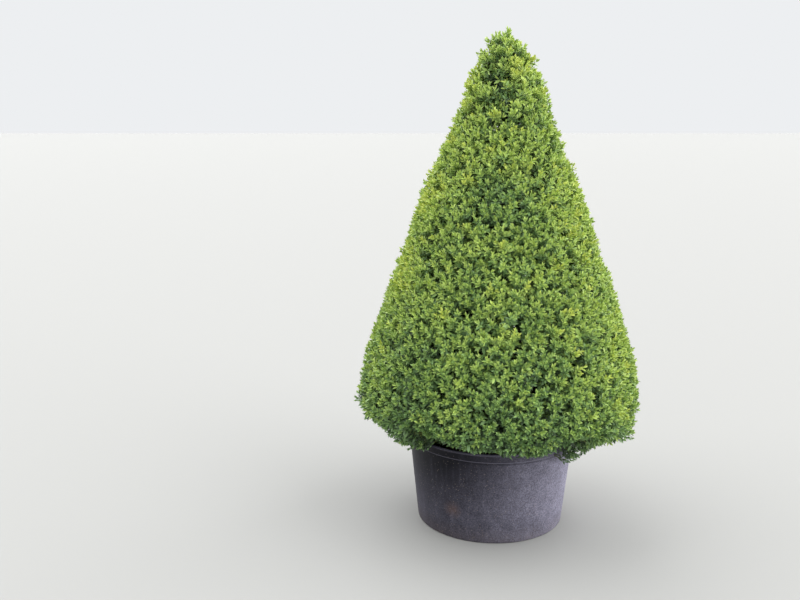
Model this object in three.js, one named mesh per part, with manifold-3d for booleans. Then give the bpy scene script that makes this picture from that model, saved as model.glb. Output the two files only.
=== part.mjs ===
// A clipped box cone in a large nursery pot, in millimetres, +Z up.
// The origin is the centre of the pot's flat underside, and the front is towards -Y.

import * as THREE from 'three';
import { mergeVertices } from 'three/addons/utils/BufferGeometryUtils.js';
import Module from 'manifold-3d';

// Pot: a tapered tub with a banded rim, a narrow ledge under the band and a rolled lip
const POT_HEIGHT = 356;
const POT_BASE_RADIUS = 275;
const POT_RIM_RADIUS = 320;
const POT_WALL = 5;
const POT_FLOOR = 6;
const POT_FOOT_ROUND = 6;
const RIM_BAND_HEIGHT = 34;
const RIM_BAND_STEP = 4;
const RIM_LEDGE = 2;
const LIP_ROLL = 5.5;
const LIP_STEPS = 4;
const WALL_TOP_RADIUS = 309;
const POT_SIDES = 48;

// Growing medium: it fills the pot to a little below the lip and rises towards the trunk
const MEDIUM_EDGE_HEIGHT = 312;
const MEDIUM_SHOULDER_HEIGHT = 318;
const MEDIUM_SHOULDER_RADIUS = 190;
const MEDIUM_CROWN_HEIGHT = 322;
const MEDIUM_CROWN_RADIUS = 80;

// Trunk: one leader that leans a little to +X, flares at the foot and tapers to the tip
const TRUNK_FOOT_X = 14;
const TRUNK_LEAN = 0.009;
const TRUNK_SWAY = 5;
const TRUNK_SWAY_LENGTH = 620;
const TRUNK_TOP_HEIGHT = 1610;
const TRUNK_RADIUS = 29;
const TRUNK_TOP_RADIUS = 6;
const FLARE_WIDTH = 19;
const FLARE_HEIGHT = 38;
const TRUNK_SIDES = 10;
const TRUNK_RINGS = [0, 18, 45, 90, 240, 480, 760, 1040];

// Crown: radius of the clipped surface at each height, round an axis a little to +X of the pot's
const CROWN_OUTLINE = [
  [384, 392],
  [396, 455],
  [416, 496],
  [450, 516],
  [500, 522],
  [560, 517],
  [736, 472],
  [992, 379],
  [1248, 289],
  [1472, 188],
  [1632, 137],
  [1744, 76],
  [1800, 10],
];
const CROWN_AXIS_X = 23;

// The masses of foliage, from the hem up: each is named, with the height where it stops
const MASSES = [
  ['foliage_skirt', 590],
  ['foliage_lower', 855],
  ['foliage_middle', 1130],
  ['foliage_upper', 1430],
  ['foliage_tip', 1900],
];
// The border between two masses rises outwards as the lowest shoots do, and is level further in
const BORDER_SLOPE = 0.36;
const BORDER_DEPTH = 110;
const BORDER_GAP = 0.4;

// The core that the shoots stand out of
const CORE_DEPTH = 104;
const CORE_SHARE = 0.52;
const CORE_FLOOR_HEIGHT = 380;
const CORE_SHOULDER_HEIGHT = 450;
const CORE_TOP_HEIGHT = 1742;
const CORE_ROW = 95;
const CORE_SIDES = 24;

// Shoots: a three-sided twig with two pairs of leaves that cross, as box has them
const SHOOT_COUNT = 158;
// Shoots at the foot of a mass stand out nearly level, and rise more towards its top
const LOW_RISE = -0.12;
const HIGH_RISE = 0.75;
const STEEPEST_FALL = 0.8;
const SHOOT_SCATTER = 0.25;
const TURN_SCATTER = 0.2;
const BORDER_ROOM = 26;
const SHOOT_SEED = 20407;
const GOLDEN_ANGLE = Math.PI * (3 - Math.sqrt(5));
const TIP_SCATTER = 7;
const LOOSE_TIP_SCATTER = 20;
const LOOSE_TIP_HEIGHT = 1480;
const TWIG_LENGTH = 84;
const TWIG_RADIUS = 8;
const TWIG_TURN = 0.27;
const LEAF_LENGTH = 104;
const LEAF_WIDTH = 76;
const LEAF_KEEL = 8;
const LEAF_WIDEST = 0.6;
// Each pair: how far back from the twig's point it springs, and how far it spreads
const PAIRS = [
  [28, 0.4],
  [38, 0.85],
];
const PAIR_STAGGER = 2;
const TURNS_TRIED = 6;
const SPACE_MARGIN = 8;
const RIM_MARGIN = 10;

const CLEARANCE = 0.3;
const UP = new THREE.Vector3(0, 0, 1);
const ALONG_Y = new THREE.Vector3(0, 1, 0);

const wasm = await Module();
wasm.setup();

// Repeatable random numbers from 0 to 1
function seededRandom(seed) {
  let state = seed;
  return () => {
    state = (state + 0x6d2b79f5) | 0;
    let mixed = Math.imul(state ^ (state >>> 15), state | 1);
    mixed = (mixed + Math.imul(mixed ^ (mixed >>> 7), mixed | 61)) ^ mixed;
    return ((mixed ^ (mixed >>> 14)) >>> 0) / 4294967296;
  };
}

// Value at a height in a list of [height, value] pairs
function interpolate(pairs, height) {
  const last = pairs.length - 1;
  if (height <= pairs[0][0]) return pairs[0][1];
  if (height >= pairs[last][0]) return pairs[last][1];
  const above = pairs.findIndex((pair) => pair[0] > height);
  const [lowHeight, lowValue] = pairs[above - 1];
  const [highHeight, highValue] = pairs[above];
  return THREE.MathUtils.mapLinear(height, lowHeight, highHeight, lowValue, highValue);
}

// A closed geometry as a solid that can be joined and cut
function solidOf(geometry) {
  const bare = geometry.clone();
  bare.deleteAttribute('normal');
  bare.deleteAttribute('uv');
  const merged = mergeVertices(bare, 1e-4);
  const index = merged.index.array;
  const triangles = [];
  for (let i = 0; i < index.length; i += 3) {
    const [a, b, c] = [index[i], index[i + 1], index[i + 2]];
    if (a !== b && b !== c && c !== a) triangles.push(a, b, c);
  }
  return new wasm.Manifold(
    new wasm.Mesh({
      numProp: 3,
      vertProperties: new Float32Array(merged.attributes.position.array),
      triVerts: new Uint32Array(triangles),
    }),
  );
}

// The largest body of a solid, back as a geometry: loose scraps and sealed hollows go
function geometryOf(solid) {
  const bodies = solid.decompose();
  const largest = bodies.reduce((a, b) => (b.volume() > a.volume() ? b : a));
  const mesh = largest.getMesh();
  const geometry = new THREE.BufferGeometry();
  geometry.setAttribute('position', new THREE.BufferAttribute(mesh.vertProperties, 3));
  geometry.setIndex(new THREE.BufferAttribute(mesh.triVerts, 1));
  geometry.computeVertexNormals();
  return geometry;
}

// A round body from its profile of [radius, height] pairs, turned about the upright axis at x
function turned(profile, sides, x = 0) {
  const points = profile.map(([radius, height]) => new THREE.Vector2(radius, height));
  const geometry = new THREE.LatheGeometry(points, sides);
  geometry.rotateX(Math.PI / 2);
  geometry.translate(x, 0, 0);
  return geometry;
}

// Pot

// Radius of the straight wall's outer face at a height
function wallRadius(height) {
  const top = POT_HEIGHT - RIM_BAND_HEIGHT;
  return THREE.MathUtils.mapLinear(height, 0, top, POT_BASE_RADIUS, WALL_TOP_RADIUS);
}

function potGeometry() {
  const bandFoot = POT_HEIGHT - RIM_BAND_HEIGHT;
  const lipMiddle = POT_HEIGHT - LIP_ROLL;
  const lipRadius = POT_RIM_RADIUS - LIP_ROLL;
  const profile = [
    [0, 0],
    [POT_BASE_RADIUS - POT_FOOT_ROUND, 0],
    [wallRadius(POT_FOOT_ROUND), POT_FOOT_ROUND],
    [wallRadius(bandFoot - RIM_LEDGE), bandFoot - RIM_LEDGE],
    [WALL_TOP_RADIUS + RIM_BAND_STEP, bandFoot],
    [POT_RIM_RADIUS - RIM_LEDGE, lipMiddle - LIP_ROLL],
  ];
  for (let i = 0; i <= LIP_STEPS; i += 1) {
    const angle = (Math.PI * i) / LIP_STEPS;
    profile.push([lipRadius + LIP_ROLL * Math.cos(angle), lipMiddle + LIP_ROLL * Math.sin(angle)]);
  }
  profile.push(
    [wallRadius(bandFoot) - POT_WALL, bandFoot],
    [wallRadius(POT_FLOOR) - POT_WALL, POT_FLOOR],
    [0, POT_FLOOR],
  );
  return turned(profile, POT_SIDES);
}

// Growing medium, clear of the wall and the floor of the pot all round

function mediumGeometry() {
  const foot = POT_FLOOR + CLEARANCE;
  const inner = (height) => wallRadius(height) - POT_WALL - CLEARANCE;
  return turned(
    [
      [0, foot],
      [inner(foot), foot],
      [inner(MEDIUM_EDGE_HEIGHT), MEDIUM_EDGE_HEIGHT],
      [MEDIUM_SHOULDER_RADIUS, MEDIUM_SHOULDER_HEIGHT],
      [MEDIUM_CROWN_RADIUS, MEDIUM_CROWN_HEIGHT],
      [0, MEDIUM_CROWN_HEIGHT],
    ],
    POT_SIDES,
  );
}

// Trunk

const TRUNK_FOOT_HEIGHT = MEDIUM_CROWN_HEIGHT + CLEARANCE;

function trunkCentre(height) {
  const climbed = height - TRUNK_FOOT_HEIGHT;
  const phase = (2 * Math.PI * climbed) / TRUNK_SWAY_LENGTH;
  const x = TRUNK_FOOT_X + TRUNK_LEAN * climbed + TRUNK_SWAY * Math.sin(phase);
  return new THREE.Vector3(x, TRUNK_SWAY * (Math.cos(phase) - 1), height);
}

function trunkRadius(height) {
  const climbed = height - TRUNK_FOOT_HEIGHT;
  const whole = TRUNK_TOP_HEIGHT - TRUNK_FOOT_HEIGHT;
  const taper = THREE.MathUtils.mapLinear(climbed, 0, whole, TRUNK_RADIUS, TRUNK_TOP_RADIUS);
  return taper + FLARE_WIDTH * Math.exp(-climbed / FLARE_HEIGHT);
}

// The trunk, or with room added the bore that keeps a mass clear of it
function trunkGeometry(room) {
  const heights = TRUNK_RINGS.map((climbed) => TRUNK_FOOT_HEIGHT + climbed);
  heights.push(TRUNK_TOP_HEIGHT + room);
  const rows = heights.length;
  const tube = new THREE.CylinderGeometry(1, 1, rows - 1, TRUNK_SIDES, rows - 1);
  tube.rotateX(Math.PI / 2);
  const position = tube.attributes.position;
  for (let i = 0; i < position.count; i += 1) {
    const height = heights[Math.round(position.getZ(i) + (rows - 1) / 2)];
    const centre = trunkCentre(height);
    const radius = trunkRadius(Math.min(height, TRUNK_TOP_HEIGHT)) + room;
    position.setXYZ(i, centre.x + radius * position.getX(i), centre.y + radius * position.getY(i), height);
  }
  return tube;
}

// Crown

// Radius of the clipped surface at a height
function crownRadius(height) {
  return interpolate(CROWN_OUTLINE, height);
}

function coreRadius(height) {
  const radius = crownRadius(height);
  return radius - Math.min(CORE_DEPTH, CORE_SHARE * radius);
}

// Height of the border that meets the clipped surface at a height, at a radius from the axis
function borderHeight(height, radius) {
  const inwards = crownRadius(height) - radius;
  return height - BORDER_SLOPE * Math.min(inwards, BORDER_DEPTH);
}

// Places on the clipped surface, spread evenly over its area by the golden angle
function shootPlaces(random) {
  const steps = [];
  let area = 0;
  for (let i = 1; i < CROWN_OUTLINE.length; i += 1) {
    const [lowHeight, lowRadius] = CROWN_OUTLINE[i - 1];
    const [highHeight, highRadius] = CROWN_OUTLINE[i];
    const slant = Math.hypot(highHeight - lowHeight, highRadius - lowRadius);
    const part = slant * (lowRadius + highRadius);
    steps.push({ lowHeight, highHeight, lowRadius, highRadius, from: area, part });
    area += part;
  }
  const places = [];
  for (let i = 0; i < SHOOT_COUNT; i += 1) {
    const wanted = (area * (i + 1)) / SHOOT_COUNT;
    const step = steps.find((s) => wanted <= s.from + s.part) ?? steps.at(-1);
    const share = (wanted - step.from) / step.part;
    const turn = i * GOLDEN_ANGLE + TURN_SCATTER * (random() - 0.5);
    const height = THREE.MathUtils.lerp(step.lowHeight, step.highHeight, share);
    const fall = (step.highRadius - step.lowRadius) / (step.highHeight - step.lowHeight);
    places.push({ height, turn, fall: Math.min(fall, STEEPEST_FALL) });
  }
  return places;
}

// A leaf along +Y from its root at the origin: a blade folded down along its keel
function leafGeometry() {
  const leaf = new THREE.SphereGeometry(1, 3, 2);
  const position = leaf.attributes.position;
  for (let i = 0; i < position.count; i += 1) {
    const atEnd = Math.abs(position.getY(i)) > 0.5;
    const along = atEnd ? (position.getY(i) + 1) / 2 : LEAF_WIDEST;
    const across = Math.sign(Math.round(position.getZ(i)));
    const through = atEnd || across ? 0 : -LEAF_KEEL;
    position.setXYZ(i, (-across * LEAF_WIDTH) / 2, along * LEAF_LENGTH, through);
  }
  return leaf;
}

function twigGeometry() {
  const twig = new THREE.ConeGeometry(TWIG_RADIUS, TWIG_LENGTH, 3);
  twig.rotateY(TWIG_TURN);
  twig.translate(0, TWIG_LENGTH / 2, 0);
  return twig;
}

const LEAF = leafGeometry();
const TWIG = twigGeometry();

// A geometry made along +Y with its upper face to +Z, moved to a root and turned to an aim
function grown(geometry, root, aim, across) {
  const face = new THREE.Vector3().crossVectors(across, aim).normalize();
  const turn = new THREE.Matrix4().makeBasis(across, aim, face).setPosition(root);
  return geometry.clone().applyMatrix4(turn);
}

// Whether every corner keeps to the space between two borders and off the pot's rim
function keepsInside(geometry, floor, ceiling) {
  const position = geometry.attributes.position;
  const corner = new THREE.Vector3();
  for (let i = 0; i < position.count; i += 1) {
    corner.fromBufferAttribute(position, i);
    const radius = Math.hypot(corner.x - CROWN_AXIS_X, corner.y);
    const overPot = Math.hypot(corner.x, corner.y) < POT_RIM_RADIUS + RIM_MARGIN;
    if (overPot && corner.z < POT_HEIGHT + RIM_MARGIN) return false;
    if (floor && corner.z < borderHeight(floor, radius) + SPACE_MARGIN) return false;
    if (corner.z > borderHeight(ceiling, radius) - SPACE_MARGIN) return false;
  }
  return true;
}

// One shoot: the twig and its pairs of leaves, of which those at the end reach the surface
function shootSolids(place, random, floor, ceiling) {
  const { turn, fall } = place;
  const foot = floor || CROWN_OUTLINE[0][0];
  const lowest = floor ? floor + BORDER_ROOM : foot;
  const height = THREE.MathUtils.clamp(place.height, lowest, ceiling - BORDER_ROOM);
  const rise = THREE.MathUtils.mapLinear(height, foot, ceiling, LOW_RISE, HIGH_RISE);
  const radius = crownRadius(height);
  const outwards = new THREE.Vector3(Math.cos(turn), Math.sin(turn), 0);
  const normal = outwards.clone().addScaledVector(UP, -fall).normalize();
  const scatter = new THREE.Vector3(random() - 0.5, random() - 0.5, random() - 0.5);
  const direction = normal.addScaledVector(UP, rise).addScaledVector(scatter, SHOOT_SCATTER).normalize();
  const loose = height > LOOSE_TIP_HEIGHT ? LOOSE_TIP_SCATTER : TIP_SCATTER;
  const proud = loose * (random() - 0.5);
  const tip = outwards.clone().multiplyScalar(radius);
  tip.x += CROWN_AXIS_X;
  tip.z = height;
  tip.addScaledVector(direction, proud);
  const [endBack, endSpread] = PAIRS[0];
  const end = tip.clone().addScaledVector(direction, endBack - LEAF_LENGTH * Math.cos(endSpread));
  const root = end.clone().addScaledVector(direction, -TWIG_LENGTH);
  const side = new THREE.Vector3().crossVectors(direction, ALONG_Y).normalize();
  side.applyAxisAngle(direction, 2 * Math.PI * random());

  const leafAt = (across, spread, back) => {
    const aim = direction.clone().applyAxisAngle(across, spread);
    const start = end.clone().addScaledVector(direction, -back);
    return grown(LEAF, start, aim, spread < 0 ? across.clone().negate() : across);
  };

  const twig = grown(TWIG, root, direction, side);
  if (!keepsInside(twig, floor, ceiling)) return [];
  let best = [];
  for (let tried = 0; tried < TURNS_TRIED; tried += 1) {
    const across = side.clone().applyAxisAngle(direction, (Math.PI * tried) / TURNS_TRIED);
    const leaves = [];
    for (const [back, spread] of PAIRS) {
      leaves.push(leafAt(across, spread, back), leafAt(across, -spread, back + PAIR_STAGGER));
      across.applyAxisAngle(direction, Math.PI / 2);
    }
    const kept = leaves.filter((leaf) => keepsInside(leaf, floor, ceiling));
    if (kept.length > best.length) best = kept;
  }
  return best.length ? [twig, ...best].map(solidOf) : [];
}

// Profile of the core of one mass, from its lower border to its upper one
function coreProfile(floor, ceiling) {
  const half = BORDER_GAP / 2;
  const profile = [];
  const edgeAt = (border) => {
    const height = border - BORDER_SLOPE * CORE_DEPTH;
    return [coreRadius(height), height];
  };
  if (floor) {
    const level = floor - BORDER_SLOPE * BORDER_DEPTH + half;
    const inner = crownRadius(floor) - BORDER_DEPTH;
    profile.push([0, level], [inner, level]);
    const [radius, height] = edgeAt(floor);
    profile.push([radius, borderHeight(floor, radius) + half]);
    for (let h = height + CORE_ROW; h < ceiling - BORDER_SLOPE * CORE_DEPTH - CORE_ROW / 2; h += CORE_ROW) {
      profile.push([coreRadius(h), h]);
    }
  } else {
    profile.push([0, CORE_FLOOR_HEIGHT], [coreRadius(CORE_FLOOR_HEIGHT), CORE_FLOOR_HEIGHT]);
    profile.push([coreRadius(CORE_SHOULDER_HEIGHT), CORE_SHOULDER_HEIGHT]);
  }
  if (ceiling < CORE_TOP_HEIGHT) {
    const [radius] = edgeAt(ceiling);
    const level = ceiling - BORDER_SLOPE * BORDER_DEPTH - half;
    const inner = crownRadius(ceiling) - BORDER_DEPTH;
    profile.push([radius, borderHeight(ceiling, radius) - half], [inner, level], [0, level]);
  } else {
    profile.push([0, CORE_TOP_HEIGHT]);
  }
  return profile;
}

const group = new THREE.Group();

function addPart(name, geometry, colour, roughness) {
  const material = new THREE.MeshStandardMaterial({
    color: colour,
    roughness,
    metalness: 0,
    flatShading: true,
  });
  const mesh = new THREE.Mesh(geometry, material);
  mesh.name = name;
  group.add(mesh);
}

addPart('pot', potGeometry(), '#565356', 0.62);
addPart('growing_medium', mediumGeometry(), '#3a2d24', 0.95);
addPart('trunk', trunkGeometry(0), '#7d7263', 0.85);

const random = seededRandom(SHOOT_SEED);
const places = shootPlaces(random);
const bore = solidOf(trunkGeometry(CLEARANCE));
let floor = 0;
for (const [name, ceiling] of MASSES) {
  const core = solidOf(turned(coreProfile(floor, ceiling), CORE_SIDES, CROWN_AXIS_X));
  const pieces = [core];
  for (const place of places) {
    if (place.height < floor || place.height >= ceiling) continue;
    pieces.push(...shootSolids(place, random, floor, ceiling));
  }
  const mass = wasm.Manifold.union(pieces).subtract(bore);
  addPart(name, geometryOf(mass), '#74922f', 0.6);
  floor = ceiling;
}

export default group;
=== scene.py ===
"""A clipped box cone in a large nursery pot, dressed round its CAD model, in metres.

+Z is up, the front is towards -Y, and the origin is the centre of the pot's flat underside. Each mass of
foliage is replaced by boughs, twigs and leaves, which grow from the trunk by the rule of the CAD shoots.
"""

import math

import bmesh
import bpy
import numpy as np
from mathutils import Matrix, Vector, noise


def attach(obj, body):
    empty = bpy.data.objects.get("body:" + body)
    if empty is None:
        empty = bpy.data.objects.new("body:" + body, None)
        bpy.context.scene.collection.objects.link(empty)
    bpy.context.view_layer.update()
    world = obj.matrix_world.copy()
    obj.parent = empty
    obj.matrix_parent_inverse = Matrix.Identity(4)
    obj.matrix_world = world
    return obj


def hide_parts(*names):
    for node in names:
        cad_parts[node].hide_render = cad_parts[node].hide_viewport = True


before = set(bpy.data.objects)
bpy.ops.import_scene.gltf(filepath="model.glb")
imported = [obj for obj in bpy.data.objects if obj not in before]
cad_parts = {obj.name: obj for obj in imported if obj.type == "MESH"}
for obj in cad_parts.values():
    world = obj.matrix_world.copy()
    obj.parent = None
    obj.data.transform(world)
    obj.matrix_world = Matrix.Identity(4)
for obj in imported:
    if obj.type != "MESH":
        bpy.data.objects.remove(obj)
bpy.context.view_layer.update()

bl_info = {
    "name": "Box Cone Topiary",
    "version": (1, 0, 0),
    "blender": (4, 5, 0),
    "location": "3D View > Sidebar > Topiary",
    "description": "Makes a clipped box cone in a nursery pot, with its stage",
    "category": "Add Mesh",
}

GOLDEN_ANGLE = math.pi * (3 - math.sqrt(5))
UP = np.array([0.0, 0.0, 1.0])

# Pot, with the source's sizes
POT_HEIGHT = 0.356
POT_BASE_RADIUS = 0.275
POT_RIM_RADIUS = 0.320
POT_FLOOR = 0.006
POT_FOOT_ROUND = 0.006
BAND_HEIGHT = 0.034
BAND_FOOT = POT_HEIGHT - BAND_HEIGHT
BAND_STEP = 0.004
RIM_LEDGE = 0.002
LIP_ROLL = 0.0055
WALL_TOP_RADIUS = 0.309
LIP_STEPS = 10
FOOT_STEPS = 4
POT_STEPS = 128

# How much of the dust colour lies on the pot, partly as dust and partly as painted light: along an axis, from
# one place to another, from one share to another, and how that joins the rows before it. The first two rows
# are painted light: the
# +X side, which faces the key light, is lighter, and its edge lighter still, a painted sheen. The third makes
# the share fall towards the foot, so the wall is darker there. The last is painted shade: the wall is darker
# towards the top, where the crown shades it
DUST_AND_PAINTED_LIGHT_BY_PLACE = [
    ("X", -0.22, 0.36, -0.022, 0.50, "SMOOTHSTEP", "ADD"),
    ("X", 0.15, 0.32, 0.0, 0.21, "SMOOTHSTEP", "ADD"),
    ("Z", 0.06, 0.26, 0.62, 1.05, "LINEAR", "MULTIPLY"),
    ("Z", 0.32, 0.10, 0.0, 0.12, "LINEAR", "ADD"),
]
SMEAR_PLACE = (-0.155, -0.238, 0.118)
SMEAR_REACH = (0.004, 0.042)
SOIL_HEIGHT = 0.07

# Sizes of the patterns in the finishes, in millimetres
DRIP_WIDTH = 13.3
DRIP_LENGTH = 220.0
DUST_CLOUD = 41.5
DUST_SPECK = 4.8
SPLASH_SPACING = 10.0
PATCH_WIDTH = 38.5
MOULD_GRAIN = 2.5
CRUMB_WIDTH = 6.25
PLATE_WIDTH = 9.0
PLATE_LENGTH = 22.0
FLECK_WIDTH = 3.3

# Growing medium: its surface by radius and height, and the depth and scale of its lumps
MEDIUM_EDGE_HEIGHT = 0.312
MEDIUM_SURFACE = [(0.080, 0.322), (0.190, 0.318)]
MEDIUM_RING = 0.010
MEDIUM_STEPS = 120
MEDIUM_GAP = 0.0003
MEDIUM_LUMPS = [(0.0035, 60.0), (0.00175, 170.0)]

# Bark chips: small wedges, with the ranges of half their length, width and thickness
CHIP_COUNT = 900
CHIP_SEED = 311
CHIP_SIZES = [(0.004, 0.011), (0.002, 0.005), (0.0008, 0.002)]
CHIP_TAPER = 0.5
CHIP_LEAN = 0.5
CHIP_LIFT = 0.0015
CHIPS_FROM_MIDDLE = 0.06
CHIPS_FROM_WALL = 0.014
CHIP_CORNERS = np.array([[x, y, z] for z in (-1, 1) for y in (-1, 1) for x in (-1, 1)], float)
CHIP_TRIANGLES = np.array(
    [
        [0, 2, 3], [0, 3, 1], [4, 5, 7], [4, 7, 6], [0, 1, 5], [0, 5, 4],
        [2, 6, 7], [2, 7, 3], [0, 4, 6], [0, 6, 2], [1, 3, 7], [1, 7, 5],
    ]
)

# Trunk: the furrows of its bark have a depth and a scale, and are drawn out along it
TRUNK_FOOT_HEIGHT = 0.3223
TRUNK_FOOT_X = 0.014
TRUNK_LEAN = 0.009
TRUNK_SWAY = 0.005
TRUNK_SWAY_LENGTH = 0.620
TRUNK_TOP_HEIGHT = 1.610
TRUNK_TOP_RADIUS = 0.006
FLARE_WIDTH = 0.019
FLARE_HEIGHT = 0.038
TRUNK_SIDES = 40
TRUNK_RING = 0.012
FURROWS = [(1.0, 2.0), (0.5, 4.7)]
FURROWS_ROUND = 2.2
FURROWS_ALONG = 16.0
FURROW_MIDDLE = 0.35

# Crown: height and radius of the clipped surface, round an axis a little to +X of the pot's
CROWN_AXIS = np.array([0.023, 0.0])
CROWN_OUTLINE = np.array(
    [
        [0.392, 0.392], [0.400, 0.455], [0.418, 0.496], [0.450, 0.516], [0.500, 0.522],
        [0.560, 0.517], [0.736, 0.472], [0.992, 0.379], [1.248, 0.289], [1.472, 0.188],
        [1.632, 0.137], [1.744, 0.082], [1.784, 0.052], [1.806, 0.012],
    ]
)
# The masses of foliage from the hem up, and the height where each stops
MASSES = {"skirt": 0.590, "lower": 0.855, "middle": 1.130, "upper": 1.430, "tip": 1.900}
# The shaded underside of the crown slopes down from the hem to the pot's rim, and goes on a little inside it
UNDERSIDE = np.array([[0.342, 0.235], [0.338, 0.295], [0.345, 0.335]])
# It hangs unevenly: the height of its lowest leaves at a radius, by turns in degrees from +X towards +Y. It
# rises outwards by the slope
HEM_RADIUS = 0.335
HEM_SLOPE = 0.39
HEM = [
    (0, 0.334), (60, 0.338), (120, 0.338), (180, 0.340), (198, 0.316), (224, 0.318), (228, 0.404),
    (235, 0.408), (240, 0.378), (248, 0.370), (254, 0.352), (265, 0.366), (272, 0.344), (288, 0.340),
    (296, 0.378), (306, 0.382), (311, 0.288), (322, 0.284), (345, 0.300),
]
# Clumps that hang lower still: the middle of each, its reach and its drop
CLUMPS = [
    ((-0.305, -0.225, 0.380), 0.075, 0.076),
    ((0.282, -0.250, 0.375), 0.055, 0.104),
    ((0.470, -0.180, 0.420), 0.130, 0.062),
]

# Boughs: one for each shoot of the source. They leave the trunk low, climb outwards and end inside the crown
BOUGH_COUNT = 158
BOUGH_SEED = 20407
BOUGH_TURN_SCATTER = 0.2
BOUGH_DEPTH = 0.150
BOUGH_DEPTH_SHARE = 0.55
BOUGH_SAG = 0.25
BOUGH_CLIMB = 0.75
BOUGH_LOWEST = 0.43
BOUGH_STARTS = (TRUNK_FOOT_HEIGHT + 0.05, TRUNK_TOP_HEIGHT - 0.01)
BOUGH_RISES = (0.35, 0.6)

# Sprays: a leader on a twig, with side shoots round it, as the crossed buds of box grow, and short shaded
# shoots lower down. Lengths back are measured from the leader's point
SPRAY_SEED = 4117
SPRAY_SCATTER = 0.010
DIRECTION_SCATTER = 0.17
STEEPEST_FALL = -0.62
LEAST_OUTWARD = 0.60
# How steeply shoots rise by height: they are nearly level at the hem and steep at the tip
RISE_BY_HEIGHT = [(0.39, 0.20), (0.46, 0.45), (0.60, 0.70), (1.40, 0.80), (1.60, 1.4)]
LEADER_LENGTH = 0.088
LEADER_TURN = 0.25
SIDE_SHOOT_SHARE = 0.82
SIDE_TURN_SCATTER = 0.3
SIDE_REACH = 0.023
SIDE_REACH_RANGE = (0.7, 1.3)
SIDE_DEPTH = 0.012
SIDE_START_BACK = 0.052
SIDE_START_RANGE = (-0.006, 0.012)
SIDE_LEAN = 0.42
SIDE_AIM_SCATTER = 0.12
SIDE_SHADE = 0.4
INNER_SHOOT_COUNT = 3
INNER_START_BACK = (0.042, 0.080)
INNER_LENGTH = (0.034, 0.052)
INNER_LEAN = 0.55
FORK_SHARES = [0.55, 0.7, 0.85, 1.0]
SHORT_WAY = 0.05
ROOT_BEND = 0.3
BEND = 0.35
LEAF_REACH = 0.013
# Stems as tubes: how thick at the root and towards the point, with how many rings and sides
BOUGH_TUBE = (0.0065, 0.0025, 8, 6)
TWIG_TUBE = (0.0024, 0.0013, 4, 3)
SHOOT_TUBE = (0.0013, 0.0005, 3, 3)
INNER_TUBE = (0.0013, 0.0005, 2, 3)

# How far sprays stand out of the clipped surface or in. The second number of a lump's depth, of the standing
# out, of the share of sprigs and of the hollows' limit is what the loose tip adds. Each noise has a scale and
# a shift
LOOSE_TIP_HEIGHT = 1.480
LOOSE_TIP_BLEND = 0.12
LUMPS = [((0.011, 0.006), 9.0, 3.1), ((0.008, 0.010), 24.0, 8.7)]
STANDING_OUT = (0.0035, 0.005)
SPRIG_SHARE = (0.03, 0.15)
SPRIG_RANGE = (0.008, 0.022)
HOLLOW_NOISE = (11.0, 5.3)
HOLLOW_LIMIT = (-0.44, 0.16)
HOLLOW_RANGE = (0.008, 0.020)
HOLLOW_SHADE = 0.7
PROUDEST = 0.032
DEEPEST = 0.075
TIP_OVER_HEM = 0.014
HEM_WAVE = 0.040
HEM_NOISE = (20.0, 6.4)
HEM_SCATTER = (-0.012, 0.014)
# Places where the crown is fuller, hollow, lighter or darker: the middle, its reach, how far it stands out or
# in, and how much darker it is, in steps of the list of greens. The darker steps are painted shade, in the
# hollows and low at the left; the lighter steps are partly painted light on the lit edges and partly yellower
# growth at the tip
UNEVEN = [
    ((-0.49, -0.05, 0.58), 0.12, 0.014, 0.0),
    ((-0.23, -0.02, 1.36), 0.07, 0.014, -0.5),
    ((-0.13, -0.02, 1.64), 0.05, 0.014, -1.2),
    ((0.12, 0.0, 1.70), 0.04, 0.020, -1.0),
    ((0.22, -0.02, 1.46), 0.07, 0.012, -0.5),
    ((0.55, 0.0, 0.40), 0.08, 0.014, 0.0),
    ((-0.045, 0.0, 1.785), 0.025, 0.020, -0.5),
    ((0.035, 0.0, 1.79), 0.022, 0.018, -0.5),
    ((-0.067, -0.07, 1.68), 0.030, -0.040, 1.8),
    ((-0.030, -0.10, 1.70), 0.036, -0.050, 3.2),
    ((-0.010, -0.12, 1.655), 0.036, -0.060, 3.8),
    ((0.002, -0.14, 1.61), 0.040, -0.060, 3.6),
    ((-0.030, -0.15, 1.565), 0.045, -0.045, 2.8),
    ((0.075, -0.08, 1.69), 0.06, 0.010, -2.1),
    ((0.0, -0.29, 1.24), 0.10, -0.012, 1.5),
    ((-0.085, -0.24, 1.29), 0.09, 0.0, 0.9),
    ((-0.26, -0.08, 1.24), 0.10, 0.0, -2.0),
    ((-0.36, -0.10, 0.96), 0.13, 0.0, -1.8),
    ((0.48, -0.20, 0.70), 0.13, 0.0, -1.0),
    ((0.16, -0.20, 1.32), 0.13, 0.0, -0.8),
    ((0.27, -0.10, 1.22), 0.09, 0.0, -0.8),
    ((-0.165, -0.37, 0.90), 0.10, 0.0, -0.4),
    ((-0.33, -0.38, 0.48), 0.10, 0.0, 0.7),
]
# Leaves keep clear of the rim, which lies between these radii, and of the growing medium
RIM_INSIDE = 0.296
RIM_OUTSIDE = 0.326
OVER_RIM = 0.362
OVER_MEDIUM = 0.330

# The tone of a spray, in steps of the list of greens: strong sprays are lighter. The side at +X is lighter
# too, as painted light from the key light
VIGOUR_NOISE = (5.0, 1.9)
VIGOUR_SCATTER = 0.5
TONE_MIDDLE = 0.68
TONE_PER_VIGOUR = 0.85
TONE_LIMITS = (-0.6, 2.3)
PAINTED_LIGHT_TO_X = 0.3
TONE_SCATTER = 0.4
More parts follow.
